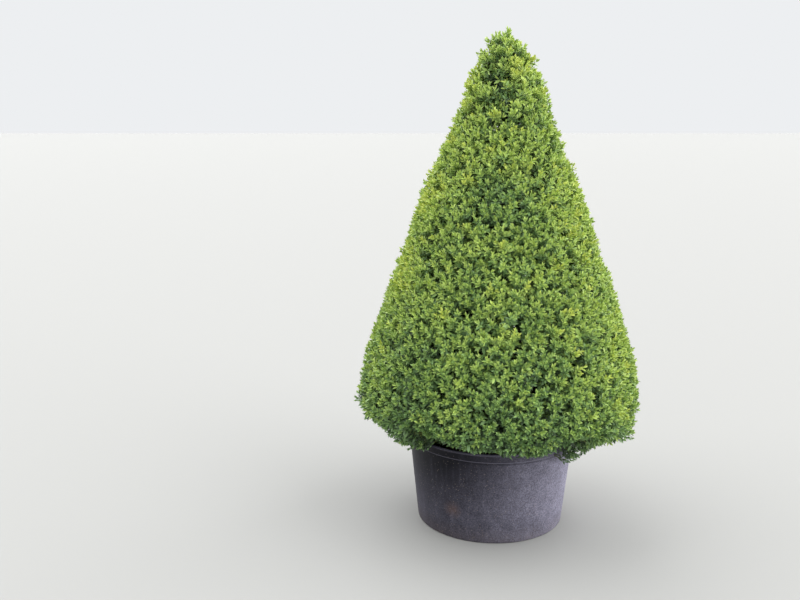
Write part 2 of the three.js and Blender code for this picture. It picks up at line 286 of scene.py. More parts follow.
# Painted shade and light by height: the hem and the sprays just above it are darker, a painted shade where
# light from above reaches them less, and the top is lighter, partly painted light from the sky and partly its
# younger growth
DARKER_BY_HEIGHT = [
    (0.36, 3.4), (0.42, 2.8), (0.48, 1.8), (0.54, 1.1), (0.62, 0.6), (0.75, 0.2), (1.20, -0.3), (1.60, -0.9),
]
# Single sprays that are yellower than those round them
YELLOW_SEED = 905
YELLOW_SHARE = 0.10
YELLOW_STEPS = 1.6

# Pairs of leaves on a shoot, from its point back: how far back, their size, how far they spread, and how much
# darker than the newest they are
YOUNG_PAIRS = [(0.0, 0.80, 0.30, -0.2), (0.005, 0.98, 0.56, 0.3), (0.011, 1.08, 0.78, 1.0)]
MATURE_PAIRS = [
    (0.0175, 1.10, 0.92, 2.0),
    (0.0240, 1.08, 1.00, 2.8),
    (0.0325, 1.12, 1.12, 3.4),
    (0.0425, 1.15, 1.22, 3.8),
    (0.0540, 1.18, 1.30, 4.1),
]
INNER_PAIRS = [(0.0, 1.30, 0.60, 1.5), (0.010, 1.60, 1.05, 2.1), (0.021, 1.75, 1.25, 2.8)]
TWIG_PAIRS = [
    (0.000, 1.50, 1.05, 3.6),
    (0.013, 1.60, 1.15, 3.7),
    (0.028, 1.70, 1.20, 3.9),
    (0.044, 1.70, 1.25, 4.1),
    (0.062, 1.70, 1.25, 4.3),
]
BOUGH_PAIRS = [(0.012 + 0.018 * i, 1.7, 1.15, 4.5) for i in range(12)]
BARE_FOOT = 0.006
TANGENT_STEP = 0.03
# How far leaves differ from their pair's: angles as a scatter in radians, sizes as a range
OPENING_SCATTER = 0.13
SWING_SCATTER = 0.20
ROLL_SCATTER = 0.28
SIZE_RANGE = (0.82, 1.16)
WIDTH_RANGE = (0.86, 1.14)
# A leaf along +Y with its upper face to +Z, for a length and a width of 1: a blade folded along its midrib,
# which runs from the first corner to the fourth
LEAF_CORNERS = np.array(
    [
        [0.0, 0.0, 0.0], [-0.36, 0.24, 0.03], [-0.46, 0.60, 0.05],
        [0.0, 1.0, -0.02], [0.46, 0.60, 0.05], [0.36, 0.24, 0.03],
    ]
)
LEAF_TRIANGLES = np.array([[0, 2, 1], [0, 3, 2], [0, 4, 3], [0, 5, 4]])
# The roughness of each setting's leaves, from the newest to the oldest, then the painted shade under the hem
GREENS = {
    "gold": 0.52, "lime": 0.50, "light": 0.48, "fresh": 0.46,
    "middle": 0.44, "mature": 0.42, "old": 0.42, "shaded": 0.46,
}

# Stage: the camera was fitted to the photo. Each light has the direction that it comes from and its spread
CAMERA_PLACE = (-0.347, -3.351, 1.534)
CAMERA_PITCH = 11.66
FLOOR_REACH = 60.0
LIGHTS = {
    "key": ((0.84, -0.14, 0.52), 80.0),
    "front": ((0.05, -0.66, 0.75), 100.0),
    "back": ((-0.66, 0.40, 0.63), 90.0),
    "rim": ((0.35, 0.85, 0.40), 80.0),
}


def linear(colour):
    """An sRGB colour in hex, such as #74922f, as the linear red, green and blue that Blender works in."""
    parts = [int(colour[i : i + 2], 16) / 255 for i in (1, 3, 5)]
    return [p / 12.92 if p <= 0.04045 else ((p + 0.055) / 1.055) ** 2.4 for p in parts]


def colour_of(thing, name, colour):
    """A colour that a user can change, with its default as sRGB hex."""
    return bpy.props.FloatVectorProperty(
        name=name, description="Colour of " + thing, default=linear(colour), subtype="COLOR", min=0.0, max=1.0
    )


def length_of(thing, name, length):
    """A length in metres that a user can change."""
    return bpy.props.FloatProperty(name=name, description=thing, default=length, min=0.0, unit="LENGTH")


def strength_of(thing, name, strength):
    """The strength of a light that a user can change."""
    return bpy.props.FloatProperty(name=name, description="Strength of " + thing, default=strength, min=0.0)


class TopiaryPotSettings(bpy.types.PropertyGroup):
    """The nursery pot and its filling."""

    wall: length_of("Thickness of the pot's wall", "Wall", 0.005)
    plastic: colour_of("the moulded plastic", "Plastic", "#0b0b14")
    dust_and_painted_light: colour_of("the dust on the wall", "Dust", "#a3a0b4")
    splashes: colour_of("the dried splashes on the wall", "Splashes", "#bcab9c")
    soil_splash: colour_of("the soil washed onto the foot", "Soil splash", "#5a4c42")
    rust: colour_of("the rusty smear low on the front", "Rust", "#77573f")
    medium: colour_of("the damp growing medium", "Growing medium", "#32271f")
    chips: colour_of("the bark chips in the medium", "Bark chips", "#6b4a33")


class TopiaryTrunkSettings(bpy.types.PropertyGroup):
    """The trunk inside the crown."""

    radius: length_of("Radius of the trunk above its flare", "Radius", 0.029)
    ridge: length_of("Height of the ridges of the bark", "Bark ridge", 0.0016)
    bark: colour_of("the ridges of the bark", "Bark", "#8d806b")
    furrow: colour_of("the furrows of the bark", "Furrow", "#4a4034")


class TopiaryCrownSettings(bpy.types.PropertyGroup):
    """The leafy crown."""

    sprays: bpy.props.IntProperty(
        name="Sprays", description="Number of sprays over the clipped surface", default=2200, min=50
    )
    leaf_length: length_of("Length of a full-grown leaf", "Leaf length", 0.0180)
    leaf_width: length_of("Width of a full-grown leaf", "Leaf width", 0.0075)
    gold: colour_of("the newest leaves of the strongest shoots", "Gold", "#b6c35c")
    lime: colour_of("the newest leaves", "Lime", "#adc363")
    light: colour_of("new leaves as they open", "Light green", "#a2b85f")
    fresh: colour_of("this season's leaves", "Fresh green", "#94af5c")
    middle: colour_of("last season's leaves", "Middle green", "#7f9c57")
    mature: colour_of("leaves in the shade", "Mature green", "#6c8b53")
    old: colour_of("the oldest leaves, inside", "Old green", "#607d4e")
    # The shaded green is painted shade: it darkens the old leaves under the hem past their own colour
    shaded: colour_of("old leaves under the hem", "Shaded green", "#4c6044")
    twig: colour_of("the green young stems", "Twig", "#76803d")
    # The boughs' bark is box bark's brown made darker, a painted shade for the inside of the crown
    bough: colour_of("the bark of the boughs", "Bough", "#564c3e")


class TopiaryStageSettings(bpy.types.PropertyGroup):
    """The floor, the light and the camera."""

    floor: colour_of("the floor", "Floor", "#8e8e8c")
    sky: colour_of("the soft light all round", "Surround", "#e5e7e9")
    sky_strength: strength_of("the soft light all round", "Surround strength", 1.08)
    key_strength: strength_of("the large soft light at the right", "Key light", 3.65)
    front_strength: strength_of("the soft light above the front", "Front light", 1.32)
    back_strength: strength_of("the light behind and to the left", "Back light", 3.35)
    rim_strength: strength_of("the light behind and to the right", "Rim light", 1.8)
    focal_length: bpy.props.FloatProperty(
        name="Focal length", description="Focal length of the lens", default=41.4, unit="CAMERA"
    )


# Materials


def pattern_scale(size):
    """The scale at which a texture's lumps come out this many millimetres across."""
    return 1000 / size


def set_inputs(tree, node, inputs):
    """Gives a shader node its inputs, each a plain value or another node's output."""
    for name, value in inputs.items():
        if isinstance(value, bpy.types.NodeSocket):
            tree.links.new(value, node.inputs[name])
        else:
            node.inputs[name].default_value = value


def add_node(tree, kind, inputs, output=0, stops=(), **settings):
    """Adds a shader node with its settings, links and a ramp's two stops, and returns one of its outputs."""
    node = tree.nodes.new("ShaderNode" + kind)
    for name, value in settings.items():
        setattr(node, name, value)
    set_inputs(tree, node, inputs)
    if stops:
        for element, (position, value) in zip(node.color_ramp.elements, stops):
            element.position = position
            element.color = (value, value, value, 1.0)
    return node.outputs[output]


def new_material(name):
    """A material with only its output and its shader, the tree that they are in, and the shader."""
    material = bpy.data.materials.new(name)
    material.use_nodes = True
    tree = material.node_tree
    return material, tree, tree.nodes["Principled BSDF"]


def plain_material(name, colour, roughness):
    """One even colour: box leaves, whose waxed leathery blades give the eye a soft gloss, and young bark."""
    material, tree, shader = new_material(name)
    set_inputs(tree, shader, {"Base Color": (*colour, 1.0), "Roughness": roughness, "IOR": 1.42})
    material.diffuse_color = (*colour, 1.0)
    return material


def floor_material(colour):
    """Matt wall paint on a smooth board: an even pale tone with no gloss."""
    material, tree, shader = new_material("matt pale paint")
    set_inputs(tree, shader, {"Base Color": (*colour, 1.0), "Roughness": 0.9})
    return material


def pot_material(settings):
    """Moulded polypropylene, weathered outdoors: dark and dull, under a dusty film that dims it unevenly.
    Painted light lightens its +X side and two lines round the rim, and painted shade darkens it under the
    crown.
    """
    material, tree, shader = new_material("moulded polypropylene, dusty")
    place = add_node(tree, "TexCoord", {}, "Object")
    apart = add_node(tree, "SeparateXYZ", {"Vector": place}).node.outputs
    stretch = (1.0, 1.0, DRIP_WIDTH / DRIP_LENGTH)
    drawn_out = add_node(tree, "Mapping", {"Vector": place, "Scale": stretch})
    # Drips that ran down the wall, clouds and specks of dust, patches of splashes, and the mould's grain.
    # The real specks are under 1 mm and the grain is under 0.5 mm: both are drawn coarser so that they show
    noises = {}
    for name, vector, size, detail, roughness in (
        ("drips", drawn_out, DRIP_WIDTH, 3.0, 0.55),
        ("clouds", place, DUST_CLOUD, 5.0, 0.65),
        ("specks", place, DUST_SPECK, 3.0, 0.8),
        ("patches", place, PATCH_WIDTH, 3.0, 0.7),
        ("grain", place, MOULD_GRAIN, 2.0, 0.5),
    ):
        inputs = {"Vector": vector, "Scale": pattern_scale(size), "Detail": detail, "Roughness": roughness}
        noises[name] = add_node(tree, "TexNoise", inputs)

    # The share starts as painted light and shade by place. Real drips, clouds and specks of dust are laid on
    # it
    steps = []
    for axis, start, end, least, most, blend, operation in DUST_AND_PAINTED_LIGHT_BY_PLACE:
        inputs = {"Value": apart[axis], "From Min": start, "From Max": end, "To Min": least, "To Max": most}
        steps.append((operation, add_node(tree, "MapRange", inputs, interpolation_type=blend)))
    drips = add_node(tree, "ValToRGB", {"Fac": noises["drips"]}, stops=[(0.50, 0.0), (0.80, 0.05)])
    steps.append(("ADD", drips))
    for name, least, most in (("clouds", 0.82, 1.18), ("specks", 0.50, 1.50)):
        inputs = {"Value": noises[name], "From Min": 0.36, "From Max": 0.66, "To Min": least, "To Max": most}
        steps.append(("MULTIPLY", add_node(tree, "MapRange", inputs)))
    dust_and_painted_light = steps[0][1]
    for operation, more in steps[1:]:
        dust_and_painted_light = add_node(tree, "Math", {0: dust_and_painted_light, 1: more}, operation=operation)

    # Dried splashes, about 2 mm across, in patches
    splash = add_node(tree, "TexVoronoi", {"Vector": place, "Scale": pattern_scale(SPLASH_SPACING)})
    splash = add_node(tree, "ValToRGB", {"Fac": splash}, stops=[(0.08, 0.28), (0.21, 0.0)])
    patches = add_node(tree, "ValToRGB", {"Fac": noises["patches"]}, stops=[(0.36, 0.25), (0.62, 1.0)])
    spots = add_node(tree, "Math", {0: splash, 1: patches}, operation="MULTIPLY")
    layers = [(dust_and_painted_light, settings.dust_and_painted_light), (spots, settings.splashes)]
    # Painted light and shade round the rim: the band is darker, a painted shade from the crown over it; a
    # thin light line on the ledge under it and another on the rolled lip are painted highlights; and a dark
    # line under the ledge is its painted shadow
    for height, reach, share, tint in (
        (POT_HEIGHT - 0.5 * BAND_HEIGHT, 0.5 * BAND_HEIGHT, 0.28, settings.plastic),
        (BAND_FOOT, 0.0022, 0.18, settings.dust_and_painted_light),
        (POT_HEIGHT, 0.0075, 0.13, settings.dust_and_painted_light),
        (BAND_FOOT - 0.0065, 0.0040, 0.30, settings.plastic),
    ):
        painted_light_strip = add_node(tree, "Math", {0: apart["Z"], 1: height, 2: reach}, operation="COMPARE")
        layers.append((add_node(tree, "Math", {0: painted_light_strip, 1: share}, operation="MULTIPLY"), tint))
    # A rusty smear low on the front, and soil washed onto the foot, both with a broken edge
    from_smear = add_node(tree, "VectorMath", {0: place, 1: SMEAR_PLACE}, "Value", operation="DISTANCE")
    for measured, start, end, most, tint in (
        (from_smear, *SMEAR_REACH, 0.34, settings.rust),
        (apart["Z"], 0.0, SOIL_HEIGHT, 0.36, settings.soil_splash),
    ):
        inputs = {"Value": measured, "From Min": start, "From Max": end, "To Min": most, "To Max": 0.0}
        inputs = {0: add_node(tree, "MapRange", inputs), 1: noises["patches"]}
        layers.append((add_node(tree, "Math", inputs, operation="MULTIPLY"), tint))

    colour = (*settings.plastic, 1.0)
    for share, tint in layers:
        colour = add_node(tree, "Mix", {0: share, 6: colour, 7: (*tint, 1.0)}, 2, data_type="RGBA")
    inputs = {"Value": dust_and_painted_light, "From Max": 0.40, "To Min": 0.52, "To Max": 0.85}
    roughness = add_node(tree, "MapRange", inputs)
    relief = add_node(tree, "Bump", {"Height": noises["grain"], "Strength": 0.35, "Distance": 0.0006})
    inputs = {"Base Color": colour, "Roughness": roughness, "Specular IOR Level": 0.15, "Normal": relief}
    set_inputs(tree, shader, inputs)
    return material


def medium_material(settings):
    """Damp peat with bark fines: dark and crumbly, with no gloss."""
    material, tree, shader = new_material("damp peat and bark")
    place = add_node(tree, "TexCoord", {}, "Object")
    inputs = {"Vector": place, "Scale": pattern_scale(CRUMB_WIDTH), "Detail": 5.0, "Roughness": 0.65}
    crumbs = add_node(tree, "TexNoise", inputs)
    share = add_node(tree, "ValToRGB", {"Fac": crumbs}, stops=[(0.40, 0.0), (0.70, 0.6)])
    inputs = {0: share, 6: (*settings.medium, 1.0), 7: (*settings.chips, 1.0)}
    colour = add_node(tree, "Mix", inputs, 2, data_type="RGBA")
    relief = add_node(tree, "Bump", {"Height": crumbs, "Strength": 0.8, "Distance": 0.003})
    set_inputs(tree, shader, {"Base Color": colour, "Roughness": 0.95, "Normal": relief})
    return material


def bark_material(settings):
    """Box bark: pale corky ridges, cracked into small plates between darker furrows."""
    material, tree, shader = new_material("box bark")
    place = add_node(tree, "TexCoord", {}, "Object")
    stretch = (1.0, 1.0, PLATE_WIDTH / PLATE_LENGTH)
    drawn_out = add_node(tree, "Mapping", {"Vector": place, "Scale": stretch})
    inputs = {"Vector": drawn_out, "Scale": pattern_scale(PLATE_WIDTH)}
    plates = add_node(tree, "TexVoronoi", inputs, feature="DISTANCE_TO_EDGE")
    ridges = add_node(tree, "ValToRGB", {"Fac": plates}, stops=[(0.02, 0.0), (0.22, 1.0)])
    inputs = {"Vector": place, "Scale": pattern_scale(FLECK_WIDTH), "Detail": 4.0, "Roughness": 0.6}
    flecks = add_node(tree, "TexNoise", inputs)
    broken = add_node(tree, "Math", {0: ridges, 1: flecks}, operation="MULTIPLY")
    inputs = {0: broken, 6: (*settings.furrow, 1.0), 7: (*settings.bark, 1.0)}
    colour = add_node(tree, "Mix", inputs, 2, data_type="RGBA")
    relief = add_node(tree, "Bump", {"Height": broken, "Strength": 0.6, "Distance": 0.0015})
    set_inputs(tree, shader, {"Base Color": colour, "Roughness": 0.9, "Normal": relief})
    return material


# Pieces


def placed(name, data):
    """An object in the scene for a mesh, a light or a camera."""
    thing = bpy.data.objects.new(name, data)
    bpy.context.scene.collection.objects.link(thing)
    return thing


def piece_from(shape, name, material):
    """An object from a finished bmesh, with its material."""
    mesh = bpy.data.meshes.new(name)
    shape.to_mesh(mesh)
    shape.free()
    mesh.materials.append(material)
    mesh.shade_smooth()
    return placed(name, mesh)


def piece_from_arrays(name, corners, triangles, materials, tones=None):
    """An object from the joined corners and triangles of many small things."""
    mesh = bpy.data.meshes.new(name)
    mesh.vertices.add(len(corners))
    mesh.vertices.foreach_set("co", corners.astype(np.float32).ravel())
    mesh.loops.add(3 * len(triangles))
    mesh.loops.foreach_set("vertex_index", triangles.astype(np.int32).ravel())
    mesh.polygons.add(len(triangles))
    mesh.polygons.foreach_set("loop_start", np.arange(0, 3 * len(triangles), 3, dtype=np.int32))
    for material in materials:
        mesh.materials.append(material)
    if tones is not None:
        mesh.polygons.foreach_set("material_index", tones.astype(np.int32))
    mesh.update(calc_edges=True)
    return placed(name, mesh)


def put_in_frame(piece, node):
    """The piece rides on the plant's one body and stands for this CAD node."""
    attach(piece, "root")
    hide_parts(node)


def turned(profile, steps):
    """A closed round body: a line through (radius, height) points, spun about the upright axis."""
    shape = bmesh.new()
    points = [shape.verts.new((radius, 0.0, height)) for radius, height in profile]
    lines = [shape.edges.new(pair) for pair in zip(points, points[1:])]
    whole = 2 * math.pi
    bmesh.ops.spin(shape, geom=points + lines, axis=(0, 0, 1), angle=whole, steps=steps, use_merge=True)
    bmesh.ops.remove_doubles(shape, verts=shape.verts, dist=1e-6)
    bmesh.ops.recalc_face_normals(shape, faces=shape.faces)
    return shape


def wall_radius(height):
    """Radius of the pot's straight wall at a height, outside."""
    return POT_BASE_RADIUS + (WALL_TOP_RADIUS - POT_BASE_RADIUS) * height / BAND_FOOT


def pot_profile(wall):
    """The pot's outline from the middle of its underside, round its lip, to the middle of its floor.

    The corners of the band and its ledge are blunted by a millimetre or less.
    """
    lip_middle = POT_HEIGHT - LIP_ROLL
    lip_radius = POT_RIM_RADIUS - LIP_ROLL
    foot_radius = POT_BASE_RADIUS - POT_FOOT_ROUND
    profile = [(0.0, 0.0)]
    for i in range(FOOT_STEPS + 1):
        angle = 0.5 * math.pi * i / FOOT_STEPS
        out = foot_radius + (wall_radius(POT_FOOT_ROUND) - foot_radius) * math.sin(angle)
        profile.append((out, POT_FOOT_ROUND * (1 - math.cos(angle))))
    profile += [
        (wall_radius(0.5 * BAND_FOOT), 0.5 * BAND_FOOT),
        (wall_radius(BAND_FOOT - RIM_LEDGE) - 0.0004, BAND_FOOT - RIM_LEDGE - 0.0012),
        (wall_radius(BAND_FOOT - RIM_LEDGE) + 0.0006, BAND_FOOT - RIM_LEDGE),
        (WALL_TOP_RADIUS + BAND_STEP - 0.0006, BAND_FOOT - 0.0003),
        (WALL_TOP_RADIUS + BAND_STEP, BAND_FOOT + 0.0006),
        (POT_RIM_RADIUS - RIM_LEDGE - 0.0008, lip_middle - LIP_ROLL - 0.0012),
        (POT_RIM_RADIUS - RIM_LEDGE, lip_middle - LIP_ROLL),
    ]
    for i in range(LIP_STEPS + 1):
        angle = math.pi * i / LIP_STEPS
        profile.append((lip_radius + LIP_ROLL * math.cos(angle), lip_middle + LIP_ROLL * math.sin(angle)))
    return profile + [
        (wall_radius(BAND_FOOT) - wall + 0.001, BAND_FOOT + 0.004),
        (wall_radius(BAND_FOOT) - wall, BAND_FOOT),
        (wall_radius(POT_FLOOR) - wall, POT_FLOOR),
        (0.0, POT_FLOOR),
    ]


def medium_height(radius):
    """Height of the medium's surface at a radius, or at many, before its crumbs."""
    edge = (wall_radius(MEDIUM_EDGE_HEIGHT), MEDIUM_EDGE_HEIGHT)
    return np.interp(radius, *zip(*MEDIUM_SURFACE, edge))


def medium_shape(wall):
    """The filling of the pot, with crumbs raised out of its upper surface."""
    foot = POT_FLOOR + MEDIUM_GAP
    edge = wall_radius(MEDIUM_EDGE_HEIGHT) - wall - MEDIUM_GAP
    profile = [(0.0, foot), (wall_radius(foot) - wall - MEDIUM_GAP, foot)]
    rings = int(edge / MEDIUM_RING)
    for i in range(rings + 1):
        radius = edge * (1 - i / rings)
        profile.append((radius, medium_height(radius)))
    shape = turned(profile, MEDIUM_STEPS)
    for corner in shape.verts:
        radius = math.hypot(corner.co.x, corner.co.y)
        if corner.co.z > MEDIUM_EDGE_HEIGHT - 0.001 and radius < edge - 0.001:
            corner.co.z += sum(depth * noise.noise(corner.co * scale) for depth, scale in MEDIUM_LUMPS)
    return shape


def chip_arrays(wall):
    """Bark chips that lie on the medium: small wedges in every direction."""
    random = np.random.default_rng(CHIP_SEED)
    reach = wall_radius(MEDIUM_EDGE_HEIGHT) - wall - CHIPS_FROM_WALL
    radius = CHIPS_FROM_MIDDLE + (reach - CHIPS_FROM_MIDDLE) * np.sqrt(random.random(CHIP_COUNT))
    turn = 2 * math.pi * random.random(CHIP_COUNT)
    sizes = np.stack([random.uniform(*size, CHIP_COUNT) for size in CHIP_SIZES], axis=1)
    taper = 1 - CHIP_TAPER * random.random((CHIP_COUNT, 8, 3)) * (CHIP_CORNERS > 0)
    x, y, z = np.moveaxis(CHIP_CORNERS * sizes[:, None] * taper, 2, 0)
    lean = random.uniform(-CHIP_LEAN, CHIP_LEAN, CHIP_COUNT)[:, None]
    spin = 2 * math.pi * random.random(CHIP_COUNT)[:, None]
    x, z = x * np.cos(lean) - z * np.sin(lean), x * np.sin(lean) + z * np.cos(lean)
    x, y = x * np.cos(spin) - y * np.sin(spin), x * np.sin(spin) + y * np.cos(spin)
    places = [radius * np.cos(turn), radius * np.sin(turn), medium_height(radius) + CHIP_LIFT]
    return joined(np.stack([x, y, z], axis=2) + np.stack(places, axis=1)[:, None], CHIP_TRIANGLES)


def trunk_centre(height):
    """Centre of the trunk at a height, or at many."""
    climbed = np.asarray(height) - TRUNK_FOOT_HEIGHT
    phase = 2 * math.pi * climbed / TRUNK_SWAY_LENGTH
    x = TRUNK_FOOT_X + TRUNK_LEAN * climbed + TRUNK_SWAY * np.sin(phase)
    return np.stack([x, TRUNK_SWAY * (np.cos(phase) - 1), np.asarray(height) + 0.0 * x], axis=-1)


def trunk_radius(height, radius):
    """Radius of the trunk at a height."""
    climbed = height - TRUNK_FOOT_HEIGHT
    taper = radius + (TRUNK_TOP_RADIUS - radius) * climbed / (TRUNK_TOP_HEIGHT - TRUNK_FOOT_HEIGHT)
    return taper + FLARE_WIDTH * math.exp(-climbed / FLARE_HEIGHT)


def trunk_shape(settings):
    """The trunk: rings extruded up its centre line, with the ridges of the bark raised out of it."""
    shape = bmesh.new()
    ring = bmesh.ops.create_circle(shape, cap_ends=True, segments=TRUNK_SIDES, radius=1.0)["verts"]
    rows = int((TRUNK_TOP_HEIGHT - TRUNK_FOOT_HEIGHT) / TRUNK_RING)
    centre = (0.0, 0.0)
    for height in [TRUNK_FOOT_HEIGHT + TRUNK_RING * i for i in range(rows)] + [TRUNK_TOP_HEIGHT]:
        if height > TRUNK_FOOT_HEIGHT:
            edges = [edge for edge in shape.edges if edge.verts[0] in ring and edge.verts[1] in ring]
            grown = bmesh.ops.extrude_edge_only(shape, edges=edges)["geom"]
            ring = [item for item in grown if isinstance(item, bmesh.types.BMVert)]
        angles = [math.atan2(corner.co.y - centre[1], corner.co.x - centre[0]) for corner in ring]
        centre = trunk_centre(height)
        for corner, angle in zip(ring, angles):
            out = trunk_radius(height, settings.radius)
            level = (math.cos(angle) * FURROWS_ROUND, math.sin(angle) * FURROWS_ROUND)
            along = Vector((*level, height * FURROWS_ALONG))
            furrow = sum(depth * abs(noise.noise(along * scale)) for depth, scale in FURROWS)
            out += settings.ridge * (furrow - FURROW_MIDDLE) * min(1.0, out / settings.radius)
            corner.co = (centre[0] + out * math.cos(angle), centre[1] + out * math.sin(angle), height)
    bmesh.ops.contextual_create(shape, geom=ring)
    bmesh.ops.recalc_face_normals(shape, faces=shape.faces)
    return shape


def joined(corners, triangles):
    """Corners (things, corners, 3) of many like things, and the triangles of one, as one list of each."""
    count, each, _ = corners.shape
    offsets = each * np.arange(count)[:, None, None]
    return corners.reshape(-1, 3), (triangles[None] + offsets).reshape(-1, 3)


def unit(vectors):
    """Vectors scaled to a length of 1."""
    return vectors / np.linalg.norm(vectors, axis=-1, keepdims=True)


def least_axis(directions):
    """The axis that each direction follows least."""
    return np.eye(3)[np.argmin(np.abs(directions), axis=1)]


# Crown


def places_on(outline, count):
    """Heights, radii, turns and normals of places spread evenly over an outline's area by the golden angle.

    A normal has an outward and an upward part.
    """
    low, high = outline[:-1], outline[1:]
    slants = np.hypot(high[:, 0] - low[:, 0], high[:, 1] - low[:, 1])
    ends = np.cumsum(slants * (low[:, 1] + high[:, 1]))
    wanted = ends[-1] * (np.arange(count) + 0.5) / count
    step = np.minimum(np.searchsorted(ends, wanted), len(ends) - 1)
    starts = np.concatenate([[0.0], ends[:-1]])
    share = (wanted - starts[step]) / (ends[step] - starts[step])
    heights, radii = (low[step] + share[:, None] * (high[step] - low[step])).T
    normals = np.stack([high[:, 0] - low[:, 0], low[:, 1] - high[:, 1]], axis=1) / slants[:, None]
    return heights, radii, GOLDEN_ANGLE * np.arange(count), normals[step]


def mass_of(heights):
    """Number of the mass that each height belongs to."""
    return np.searchsorted(list(MASSES.values())[:-1], heights, side="right")


def outwards_at(turns):
    """Level directions away from the crown's axis."""
    return np.stack([np.cos(turns), np.sin(turns), 0.0 * turns], axis=1)


def surface_point(heights, radii, turns):
    """Places on the clipped surface as points."""
    points = radii[:, None] * outwards_at(turns)
    points[:, :2] += CROWN_AXIS
    points[:, 2] = heights
    return points


def noise_at(points, scale, shift):
    """Smooth noise from -1 to 1 at points, with lumps about 1 / scale across."""
    move = Vector((shift, -shift, shift))
    return np.array([noise.noise(Vector(point) * scale + move) for point in points])


def nearness(points, place, reach):
    """How near points are to a place: 1 there, and falling to 0 past its reach."""
    return np.exp(-((np.linalg.norm(points - np.array(place), axis=1) / reach) ** 3))


def shoot_direction(heights, turns, normals, random):
    """Outwards and up, with the scatter of growth."""
    outward = np.maximum(normals[:, 0], LEAST_OUTWARD)[:, None]
    upward = np.maximum(normals[:, 1], STEEPEST_FALL)[:, None]
    rise = np.interp(heights, *zip(*RISE_BY_HEIGHT))[:, None]
    scatter = random.normal(0.0, DIRECTION_SCATTER, (len(heights), 3))
    return unit(outward * outwards_at(turns) + (upward + rise) * UP + scatter)


class Stems:
    """Many curved stems as arrays: each one's four points, the mass that it is in and its leaves' tone."""

    def __init__(self, curves, mass, tone):
        self.curves = curves
        self.mass = mass
        self.tone = tone
        self.lengths = np.linalg.norm(curves[3] - curves[0], axis=1)

    def points(self, chosen, shares):
        """Points on the chosen stems, which are cubic curves, at shares (chosen, points) of their way."""
        first, second, third, fourth = [point[chosen][:, None] for point in self.curves]
        t = shares[..., None]
        ends = (1 - t) ** 3 * first + t**3 * fourth
        return ends + (3 * t * (1 - t) ** 2 * second + 3 * t**2 * (1 - t) * third)

    def tubes(self, number, thick, thin, rings, sides):
        """Corners and triangles of a mass's stems as closed tubes that end in a point."""
        chosen = self.mass == number
        paths = self.points(chosen, np.tile(np.linspace(0.0, 1.0, rings), (chosen.sum(), 1)))
        radii = np.linspace(thick, thin, rings)[:-1, None, None]
        tangents = unit(np.gradient(paths, axis=1))
        across = unit(np.cross(tangents, least_axis(unit(paths[:, -1] - paths[:, 0]))[:, None]))
        lift = np.cross(tangents, across)
        angles = (2 * math.pi * np.arange(sides) / sides)[:, None]
        wheel = np.cos(angles) * across[:, :, None] + np.sin(angles) * lift[:, :, None]
        corners = (paths[:, :-1, None] + radii * wheel[:, :-1]).reshape(len(paths), -1, 3)
        triangles = [(0, i + 1, i) for i in range(1, sides - 1)]
        for row in range(rings - 2):
            for i in range(sides):
                a, b = row * sides + i, row * sides + (i + 1) % sides
                triangles += [(a, b, b + sides), (a, b + sides, a + sides)]
        last, point = (rings - 2) * sides, (rings - 1) * sides
        triangles += [(last + i, last + (i + 1) % sides, point) for i in range(sides)]
        return joined(np.concatenate([corners, paths[:, -1:]], axis=1), np.array(triangles))


def shoots_to(roots, tips, directions, mass, tone):
    """Stems from roots to just under the tips, which they reach in the given directions."""
    apexes = tips - LEAF_REACH * directions
    reach = np.linalg.norm(apexes - roots, axis=1)[:, None]
    curves = [roots, roots + ROOT_BEND * (apexes - roots), apexes - BEND * reach * directions, apexes]
    return Stems(curves, mass, tone)


def across_from(directions, random):
    """A direction square to each given one, turned by chance."""
    across = unit(np.cross(directions, least_axis(directions)))
    turn = 2 * math.pi * random.random(len(directions))[:, None]
    return np.cos(turn) * across + np.sin(turn) * np.cross(directions, across)


def pair_of_leaves(centres, tangents, axes, size, spread, crown, random):
    """Corners of both leaves of a pair, for many stems at once: blades opened away from the stem."""
    sets = []
    count = len(centres)
    for sign in (1.0, -1.0):
        opening = spread + random.normal(0.0, OPENING_SCATTER, count)[:, None]
        swing = random.normal(0.0, SWING_SCATTER, count)[:, None]
        out = sign * (np.cos(swing) * axes + np.sin(swing) * np.cross(tangents, axes))
        along = np.cos(opening) * tangents + np.sin(opening) * out
        face = np.sin(opening) * tangents - np.cos(opening) * out
        roll = random.normal(0.0, ROLL_SCATTER, count)[:, None]
        face = np.cos(roll) * face + np.sin(roll) * np.cross(along, face)
        across = np.cross(along, face)
        scale = size * random.uniform(*SIZE_RANGE, count)
        length = (crown.leaf_length * scale)[:, None]
        width = (crown.leaf_width * scale * random.uniform(*WIDTH_RANGE, count))[:, None]
        corners = centres[:, None] + (length * LEAF_CORNERS[:, 1])[..., None] * along[:, None]
        corners += (width * LEAF_CORNERS[:, 0])[..., None] * across[:, None]
        corners += (length * LEAF_CORNERS[:, 2])[..., None] * face[:, None]
        sets.append(corners)
    return np.concatenate(sets)


def leaves_along(stems, pairs, crown, random):
    """Crossed pairs of leaves on stems, from their points back: each leaf's corners, tone and mass."""
    across = across_from(unit(stems.curves[3] - stems.curves[2]), random)
    sets = []
    for number, (back, size, spread, tone_step) in enumerate(pairs):
        has = np.flatnonzero(back < stems.lengths - BARE_FOOT)
        share = (1 - back / stems.lengths[has])[:, None]
        near = stems.points(has, np.concatenate([share, share - TANGENT_STEP], axis=1))
        tangents = unit(near[:, 0] - near[:, 1])
        axes = across[has]
        if number % 2:
            axes = np.cross(tangents, axes)
        axes = unit(axes - (axes * tangents).sum(axis=1)[:, None] * tangents)
        corners = pair_of_leaves(near[:, 0], tangents, axes, size, spread, crown, random)
        tone = np.tile(stems.tone[has], 2) + tone_step + random.normal(0.0, TONE_SCATTER, len(corners))
        sets.append((corners, tone, np.tile(stems.mass[has], 2)))
    return sets


